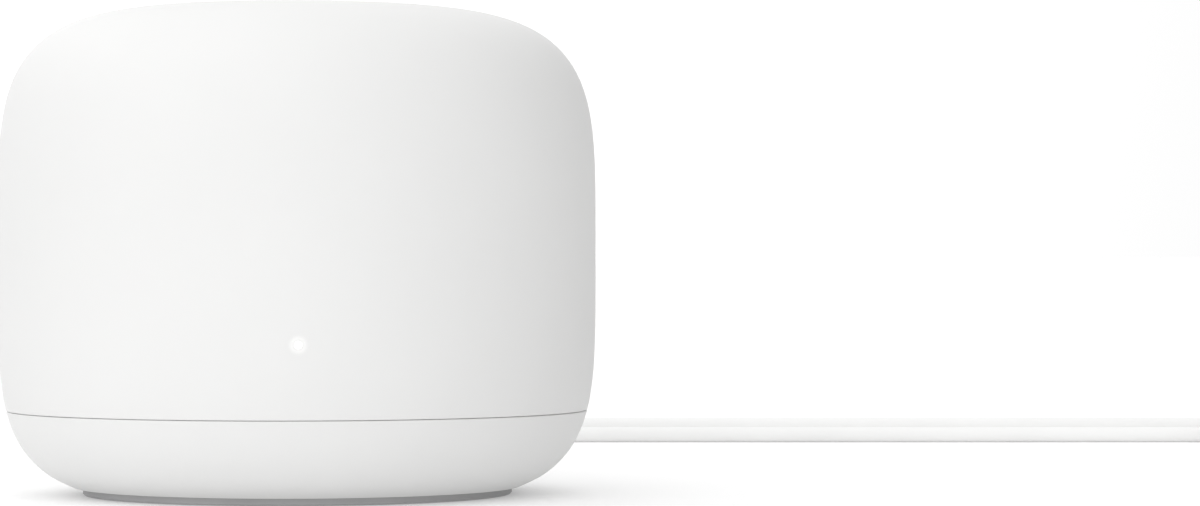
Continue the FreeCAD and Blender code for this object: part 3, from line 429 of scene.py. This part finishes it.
def make_materials():
    """One material for each of the record's slots."""
    white = (0.785, 0.785, 0.78)
    return {
        "shell_white": shell_plastic("shell_white", white, light_tip()),
        "foot_grey": moulded("foot_grey", (0.44, 0.44, 0.445), 0.72, 1900.0, 0.00002, 0.06),
        "cover_grey": moulded("cover_grey", (0.58, 0.58, 0.58), 0.55, 1500.0, 0.00003, 0.03),
        "bay_white": moulded("bay_white", (0.80, 0.80, 0.795), 0.5, 2000.0, 0.00001, 0.01),
        "jack_black": moulded("jack_black", (0.012, 0.012, 0.013), 0.42, 1800.0, 0.00001, 0.15),
        "shield_steel": sheet_metal("shield_steel", (0.62, 0.61, 0.59), 0.34),
        "contact_gold": sheet_metal("contact_gold", (0.83, 0.58, 0.20), 0.24, (8.0, 1.0, 8.0), 900.0),
        "pin_nickel": sheet_metal("pin_nickel", (0.66, 0.64, 0.60), 0.26, (6.0, 1.0, 6.0), 700.0),
        "board_green": circuit_board("board_green", (0.008, 0.085, 0.03), (0.02, 0.17, 0.06)),
        "chip_black": moulded("chip_black", (0.014, 0.014, 0.015), 0.55, 2400.0, 0.00002, 0.12),
        "pad_grey": moulded("pad_grey", (0.26, 0.28, 0.38), 0.8, 900.0, 0.00004, 0.08),
        "capacitor_silver": sheet_metal("capacitor_silver", (0.60, 0.60, 0.62), 0.32, (1.0, 1.0, 30.0)),
        "socket_ivory": moulded("socket_ivory", (0.74, 0.68, 0.52), 0.45, 1800.0, 0.00001, 0.03),
        "sink_aluminium": moulded("sink_aluminium", (0.56, 0.57, 0.58), 0.42, 1700.0, 0.00002, 0.05, 1.0),
        "screw_steel": sheet_metal("screw_steel", (0.40, 0.40, 0.41), 0.3, (1.0, 1.0, 20.0)),
        "carrier_grey": moulded("carrier_grey", (0.085, 0.085, 0.09), 0.6, 1600.0, 0.00003, 0.08),
        "antenna_board": circuit_board("antenna_board", (0.012, 0.016, 0.022), (0.45, 0.30, 0.10)),
        "coax_black": cable_jacket("coax_black", (0.012, 0.012, 0.012)),
        "led_white": lit("led_white", (1.0, 0.97, 0.90), 6.0),
        "guide_clear": lit("guide_clear", (0.90, 0.90, 0.89), 0.2),
        "ribbon_amber": moulded("ribbon_amber", (0.48, 0.17, 0.02), 0.3, 600.0, 0.00001, 0.1),
        "button_grey": moulded("button_grey", (0.11, 0.11, 0.115), 0.5, 1700.0, 0.00002, 0.06),
        "plug_white": cable_jacket("plug_white", (0.80, 0.80, 0.795)),
        "liner_black": moulded("liner_black", (0.01, 0.01, 0.01), 0.5, 1500.0, 0.00001, 0.1),
        "lead_white": cable_jacket("lead_white", (0.82, 0.82, 0.815)),
        "tie_white": woven_strap("tie_white", (0.60, 0.60, 0.60)),
        "plug_clear": clear_plastic("plug_clear", (0.90, 0.94, 0.95)),
        "adapter_white": moulded("adapter_white", white, 0.36, 2600.0, 0.000006, 0.008),
        "transformer_yellow": moulded("transformer_yellow", (0.60, 0.38, 0.03), 0.4, 500.0, 0.00004, 0.06),
        "capacitor_black": moulded("capacitor_black", (0.012, 0.014, 0.03), 0.3, 900.0, 0.00001, 0.1),
    }


MATERIALS = make_materials()
CAD_SHARP = 28.0        # degrees


def paint(piece, slot):
    """Gives a piece the slot's material, whole."""
    piece.data.materials.clear()
    piece.data.materials.append(MATERIALS[slot])


def paint_cad_nodes():
    for entry in frame["record"]["subparts"]:
        node = frame["nodes"][entry["node"]]
        paint(node, entry["material_slot"])
        node.data.polygons.foreach_set("use_smooth", [True] * len(node.data.polygons))
        node.data.set_sharp_from_angle(angle=math.radians(CAD_SHARP))


paint_cad_nodes()
paint(power_cord, "lead_white")
paint(network_cord, "lead_white")

# ================================================================ moulded boots, grips and reliefs
RING_COUNT = 64
SLOT_RISE = 2.2         # how steeply a slot's two ends climb to the surface
SLOT_ONSET = 0.7        # the larger, the shorter the slot
PIECE_SHARP = 38.0      # degrees: an edge that turns more than this stays sharp


def section_points(half_wide, half_high, squareness, bite, turn):
    """Points round a superellipse; bite is how deep two slots opposite each other go in, at angle turn."""
    points = []
    for i in range(RING_COUNT):
        angle = 2.0 * math.pi * i / RING_COUNT
        across, up = math.cos(angle), math.sin(angle)
        fullness = abs(across / half_wide) ** squareness + abs(up / half_high) ** squareness
        reach = fullness ** (-1.0 / squareness)
        reach -= bite * smooth(SLOT_RISE * abs(math.cos(angle - turn)) - SLOT_ONSET)
        points.append((reach * across, reach * up))
    return points


def loft(name, sections, place):
    """A closed skin through sections, each (distance, half width, half height, squareness, bite, turn).
    place turns (across, distance, up) into a point of the frame, in millimetres."""
    form = bmesh.new()
    rings = []
    for distance, *shape in sections:
        ring = [place(across, distance, up) for across, up in section_points(*shape)]
        rings.append([form.verts.new(metres(point)) for point in ring])
    return skinned(name, form, rings)


def skinned(name, form, rings):
    """An object whose mesh is a closed skin over rings of equal count."""
    count = len(rings[0])
    for near, far in zip(rings, rings[1:]):
        for i in range(count):
            j = (i + 1) % count
            form.faces.new((near[i], near[j], far[j], far[i]))
    form.faces.new(rings[0])
    form.faces.new(rings[-1])
    bmesh.ops.recalc_face_normals(form, faces=form.faces)
    mesh = bpy.data.meshes.new(name)
    form.to_mesh(mesh)
    form.free()
    mesh.polygons.foreach_set("use_smooth", [True] * len(mesh.polygons))
    mesh.set_sharp_from_angle(angle=math.radians(PIECE_SHARP))
    return new_object(name, mesh)


def round_section(distance, radius, bite=0.0, turn=0.0):
    return (distance, radius, radius, 2.0, bite, turn)


def slotted_relief(start, length, first_radius, last_radius, slots, depth):
    """Sections of a tapering sleeve cut by pairs of slots, each pair a quarter turn from the one before."""
    pitch = length / slots
    lip = 0.12 * pitch
    sections = []
    for i in range(slots):
        turn = 0.0 if i % 2 == 0 else math.pi / 2
        for share, bite in ((0.0, 0.0), (0.5, 0.0), (0.5, 1.0), (0.92, 1.0)):
            distance = start + pitch * (i + share) + (lip if bite else 0.0) * (share < 0.9)
            along = (distance - start) / length
            radius = first_radius + along * (last_radius - first_radius)
            sections.append(round_section(distance, radius, bite * depth, turn))
    return sections


def grooved_sleeve(start, length, first_radius, last_radius, grooves, depth):
    """Sections of a tapering sleeve with plain grooves all the way round."""
    pitch = length / grooves
    sections = []
    for i in range(grooves):
        for share, drop in ((0.0, 0.0), (0.52, 0.0), (0.62, 1.0), (0.90, 1.0)):
            distance = start + pitch * (i + share)
            along = (distance - start) / length
            radius = first_radius + along * (last_radius - first_radius) - drop * depth
            sections.append(round_section(distance, radius))
    return sections


def hooked(piece, body, slot, *nodes):
    """A piece that rides on a body, takes a slot's finish and stands for CAD nodes."""
    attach(piece, body)
    if nodes:
        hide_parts(*nodes)
    paint(piece, slot)
    return piece


BOOT_LENGTH = 20.0
BOOT_Y = 56.0           # the near boot's cord end
PLUG_X, PLUG_Z = 0.5, 9.8
FAR_PLUG = (305.5, 248.0, 3.7)


def near_plug_place(across, distance, up):
    return (PLUG_X + across, BOOT_Y - distance, PLUG_Z + up)


def far_plug_place(across, distance, up):
    return (FAR_PLUG[0] + across, FAR_PLUG[1] + distance, FAR_PLUG[2] - up)


def make_boot(name, place, body, node):
    """A network plug's boot, from its cord end: a grooved sleeve that widens into a squarish collar."""
    sections = [round_section(0.0, 2.75), round_section(0.0, 3.0), round_section(0.35, 3.15)]
    sections += grooved_sleeve(0.9, 9.6, 3.2, 3.62, 6, 0.42)
    sections += [
        round_section(10.7, 3.66),
        (11.6, 4.0, 3.62, 2.4, 0.0, 0.0),
        (12.5, 4.9, 3.62, 3.2, 0.0, 0.0),
        (13.6, 5.55, 3.64, 4.2, 0.0, 0.0),
        (15.2, 5.9, 3.66, 5.5, 0.0, 0.0),
        (17.4, 6.08, 3.68, 7.0, 0.0, 0.0),
        (19.5, 6.18, 3.69, 8.0, 0.0, 0.0),
        (19.9, 6.1, 3.62, 8.0, 0.0, 0.0),
        (BOOT_LENGTH, 5.98, 3.5, 8.0, 0.0, 0.0),
    ]
    return hooked(loft(name, sections, place), body, "plug_white", node)


POWER_X, POWER_Z = 17.5, 8.5
GRIP_Y = 30.5
GRIP_LENGTH = 17.5
RELIEF_LENGTH = 16.5


def power_plug_place(across, distance, up):
    return (POWER_X + across, GRIP_Y + distance, POWER_Z + up)


def make_power_grip():
    """The power plug's grip, from its socket end: a plain collar, finger grooves, a shoulder and the relief."""
    sections = [
        round_section(0.0, 3.9),
        round_section(0.15, 4.35),
        round_section(0.6, 4.68),
        round_section(1.2, 4.75),
        round_section(4.6, 4.75),
        round_section(5.0, 4.62),
    ]
    sections += grooved_sleeve(5.3, 8.8, 4.62, 4.50, 6, 0.30)
    sections += [
        round_section(14.3, 4.52),
        round_section(15.6, 4.46),
        round_section(16.6, 4.2),
        round_section(17.2, 3.8),
        round_section(GRIP_LENGTH, 3.35),
    ]
    sections += slotted_relief(GRIP_LENGTH + 0.8, RELIEF_LENGTH - 2.4, 3.25, 2.35, 6, 0.75)
    sections += [
        round_section(GRIP_LENGTH + RELIEF_LENGTH - 1.3, 2.34),
        round_section(GRIP_LENGTH + RELIEF_LENGTH - 0.3, 2.25),
        round_section(GRIP_LENGTH + RELIEF_LENGTH, 2.05),
    ]
    piece = loft("power_grip", sections, power_plug_place)
    return hooked(piece, "power_lead", "plug_white", "power_plug_grip")


ADAPTER_EXIT = (251.0, 106.0, 9.0)
ADAPTER_RELIEF_LENGTH = 16.0


def adapter_place(across, distance, up):
    return (ADAPTER_EXIT[0] + across, ADAPTER_EXIT[1] + distance, ADAPTER_EXIT[2] + up)


def make_adapter_relief():
    """The adapter's strain relief: its collar inside the case, a flange outside it and a slotted taper."""
    sections = [
        round_section(-3.5, 3.6),
        round_section(-3.4, 3.8),
        round_section(-2.05, 3.8),
        round_section(-2.0, 3.0),
        round_section(0.0, 3.0),
        round_section(0.02, 4.1),
        round_section(0.3, 4.2),
        round_section(1.2, 4.1),
    ]
    sections += slotted_relief(1.8, ADAPTER_RELIEF_LENGTH - 3.4, 3.9, 2.4, 7, 0.9)
    sections += [
        round_section(ADAPTER_RELIEF_LENGTH - 1.3, 2.36),
        round_section(ADAPTER_RELIEF_LENGTH - 0.3, 2.25),
        round_section(ADAPTER_RELIEF_LENGTH, 2.05),
    ]
    piece = loft("adapter_relief", sections, adapter_place)
    return hooked(piece, "power_lead", "adapter_white", "adapter_strain_relief")


# ================================================================ straps round the coils
STRAP_WIDTH = 8.0
STRAP_THICK = 0.7
STRAP_CORNER = 1.9      # the radius at which a strap turns each corner of a coil's section


def strap_line(inner, outer, low, high, corner):
    """(radius, height) points once round a coil's section, from the middle of its top, inner side first."""
    middle = (inner + outer) / 2
    line = [(middle, high)]
    for cx, cz, first in ((inner + corner, high - corner, 90.0), (inner + corner, low + corner, 180.0),
                          (outer - corner, low + corner, 270.0), (outer - corner, high - corner, 0.0)):
        for i in range(7):
            angle = math.radians(first + 15.0 * i)
            line.append((cx + corner * math.cos(angle), cz + corner * math.sin(angle)))
    return line


def make_strap(name, coil, body, node, width, height, angle):
    """A strap drawn once round a coil, with its free end laid over its start on top and down the outer side."""
    radius = coil["radii"][1]
    inner = radius - width / 2 - STRAP_THICK / 2
    outer = radius + width / 2 + STRAP_THICK / 2
    line = strap_line(inner, outer, STRAP_THICK / 2, height + STRAP_THICK / 2, STRAP_CORNER)
    over = height + 1.5 * STRAP_THICK
    line += [(outer - 2.4, over - 0.35), (outer - 3.4, over), ((inner + outer) / 2, over + 0.05),
             (inner + 2.6, over + 0.05)]
    half = STRAP_THICK / 2
    band = ((-0.5, 0.0), (-0.47, 0.8), (-0.42, 1.0), (0.42, 1.0), (0.47, 0.8), (0.5, 0.0),
            (0.47, -0.8), (0.42, -1.0), (-0.42, -1.0), (-0.47, -0.8))
    turn = math.radians(angle)
    form = bmesh.new()
    rings = []
    for i, (r, z) in enumerate(line):
        before, after = line[max(i - 1, 0)], line[min(i + 1, len(line) - 1)]
        along = Vector((after[0] - before[0], after[1] - before[1])).normalized()
        away = Vector((-along.y, along.x))
        narrow = 0.8 if i == len(line) - 1 else 1.0
        ring = []
        for side, lift in band:
            reach, up = r + away.x * lift * half, z + away.y * lift * half
            beside = side * STRAP_WIDTH * narrow
            x = coil["centre"][0] + reach * math.cos(turn) - beside * math.sin(turn)
            y = coil["centre"][1] + reach * math.sin(turn) + beside * math.cos(turn)
            ring.append(form.verts.new(metres((x, y, max(up, 0.0)))))
        rings.append(ring)
    return hooked(skinned(name, form, rings), body, "tie_white", node)


# ================================================================ wires inside the clear plugs
WIRE_COLOURS = [
    ("wire_orange_pale", (0.80, 0.52, 0.34)), ("wire_orange", (0.78, 0.20, 0.02)),
    ("wire_green_pale", (0.50, 0.72, 0.50)), ("wire_blue", (0.02, 0.10, 0.50)),
    ("wire_blue_pale", (0.45, 0.55, 0.78)), ("wire_green", (0.02, 0.28, 0.05)),
    ("wire_brown_pale", (0.58, 0.42, 0.32)), ("wire_brown", (0.16, 0.05, 0.015)),
]
WIRE_FINISHES = [cable_jacket(finish, colour) for finish, colour in WIRE_COLOURS]
WIRE_PITCH = 1.02
WIRE_DIAMETER = 0.86


def make_wires(name, place, body):
    """Eight insulated wires that fan out from the jacket to the plug's contacts."""
    data = round_curve(name, 3)
    for i, finish in enumerate(WIRE_FINISHES):
        data.materials.append(finish)
        offset = (i - 3.5) * WIRE_PITCH
        row = 0.55 if i % 2 else -0.55
        points = [(0.42 * offset, 15.0, row), (0.5 * offset, 18.5, row), (0.8 * offset, 22.0, 0.6 * row),
                  (0.98 * offset, 25.0, 0.9), (offset, 28.5, 1.5), (offset, 35.5, 1.7)]
        spline = add_line(data, [place(*point) for point in points], WIRE_DIAMETER)
        spline.material_index = i
    piece = new_object(name, data)
    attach(piece, body)
    return piece


power_grip = make_power_grip()
adapter_relief = make_adapter_relief()
near_boot = make_boot("near_boot", near_plug_place, "network_lead", "network_plug_boot")
far_boot = make_boot("far_boot", far_plug_place, "network_lead", "far_plug_boot")
near_wires = make_wires("near_wires", near_plug_place, "network_lead")
far_wires = make_wires("far_wires", far_plug_place, "network_lead")
power_strap = make_strap("power_strap", POWER_COIL, "power_lead", "power_lead_tie",
                         width=11.0, height=14.2, angle=200.0)
network_strap = make_strap("network_strap", NETWORK_COIL, "network_lead", "network_lead_tie",
                           width=15.6, height=10.2, angle=60.0)


# ================================================================ floor and light
FLOOR_GREY = 0.72
FLOOR_LIFT = 0.25           # the floor's own faint glow, which keeps it white to its far edge
FLOOR_REACH = 60.0
FLOOR_Z = -0.00004          # just under the object, so that the two don't share a plane
LOW_LIGHT_PLACE = (-0.5, -1.5, 0.06)
LOW_LIGHT_SIZE = (1.2, 0.1)
LOW_LIGHT_POWER = 1.5
SURROUND_LEVEL = 1.22
SURROUND_LEAN = (-0.44, -0.09, 0.09)        # how much brighter the surround is towards +X, +Y and +Z
SURROUND_SPREAD = (-1.12, 0.0, 0.24)        # the same for both ends of each axis
SURROUND_LEAST = 0.02


def make_floor():
    mesh = bpy.data.meshes.new("floor")
    reach = FLOOR_REACH
    outline = [(-reach, -reach, FLOOR_Z), (reach, -reach, FLOOR_Z),
               (reach, reach, FLOOR_Z), (-reach, reach, FLOOR_Z)]
    mesh.from_pydata(outline, [], [(0, 1, 2, 3)])
    floor = new_object("floor", mesh)
    material, nodes, links, shader = new_material("floor_pale")
    shader.inputs["Base Color"].default_value = (FLOOR_GREY, FLOOR_GREY, FLOOR_GREY, 1.0)
    shader.inputs["Roughness"].default_value = 0.9
    shader.inputs["Specular IOR Level"].default_value = 0.1
    shader.inputs["Emission Color"].default_value = (1.0, 1.0, 1.0, 1.0)
    shader.inputs["Emission Strength"].default_value = FLOOR_LIFT
    mesh.materials.append(material)


def make_world():
    """A soft surround: brightest above, then in front and behind, dimmer on the left, very dim on the right."""
    world = bpy.data.worlds.new("studio")
    SCENE.world = world
    world.use_nodes = True
    nodes, links = world.node_tree.nodes, world.node_tree.links
    place = nodes.new("ShaderNodeTexCoord")
    lean = nodes.new("ShaderNodeVectorMath")
    lean.operation = "DOT_PRODUCT"
    lean.inputs[1].default_value = SURROUND_LEAN
    links.new(place.outputs["Generated"], lean.inputs[0])
    square = nodes.new("ShaderNodeVectorMath")
    square.operation = "MULTIPLY"
    links.new(place.outputs["Generated"], square.inputs[0])
    links.new(place.outputs["Generated"], square.inputs[1])
    spread = nodes.new("ShaderNodeVectorMath")
    spread.operation = "DOT_PRODUCT"
    spread.inputs[1].default_value = SURROUND_SPREAD
    links.new(square.outputs["Vector"], spread.inputs[0])
    uneven = nodes.new("ShaderNodeMath")
    uneven.operation = "ADD"
    links.new(lean.outputs["Value"], uneven.inputs[0])
    links.new(spread.outputs["Value"], uneven.inputs[1])
    total = nodes.new("ShaderNodeMath")
    total.operation = "ADD"
    total.inputs[1].default_value = SURROUND_LEVEL
    links.new(uneven.outputs["Value"], total.inputs[0])
    floor_of_light = nodes.new("ShaderNodeMath")
    floor_of_light.operation = "MAXIMUM"
    floor_of_light.inputs[1].default_value = SURROUND_LEAST
    links.new(total.outputs["Value"], floor_of_light.inputs[0])
    links.new(floor_of_light.outputs["Value"], nodes["Background"].inputs["Strength"])
    nodes["Background"].inputs["Color"].default_value = (1.0, 1.0, 1.0, 1.0)


def make_low_light():
    """A wide, low soft box in front, which lights the lower casing; it faces the middle of the foot."""
    data = bpy.data.lights.new("low_front", "AREA")
    data.shape = "RECTANGLE"
    data.size, data.size_y = LOW_LIGHT_SIZE
    data.energy = LOW_LIGHT_POWER
    light = new_object("low_front", data)
    light.location = LOW_LIGHT_PLACE
    light.rotation_euler = (-Vector(LOW_LIGHT_PLACE)).to_track_quat("-Z", "Y").to_euler()


def make_studio():
    SCENE.view_settings.view_transform = "Standard"
    make_floor()
    make_world()
    make_low_light()


make_studio()
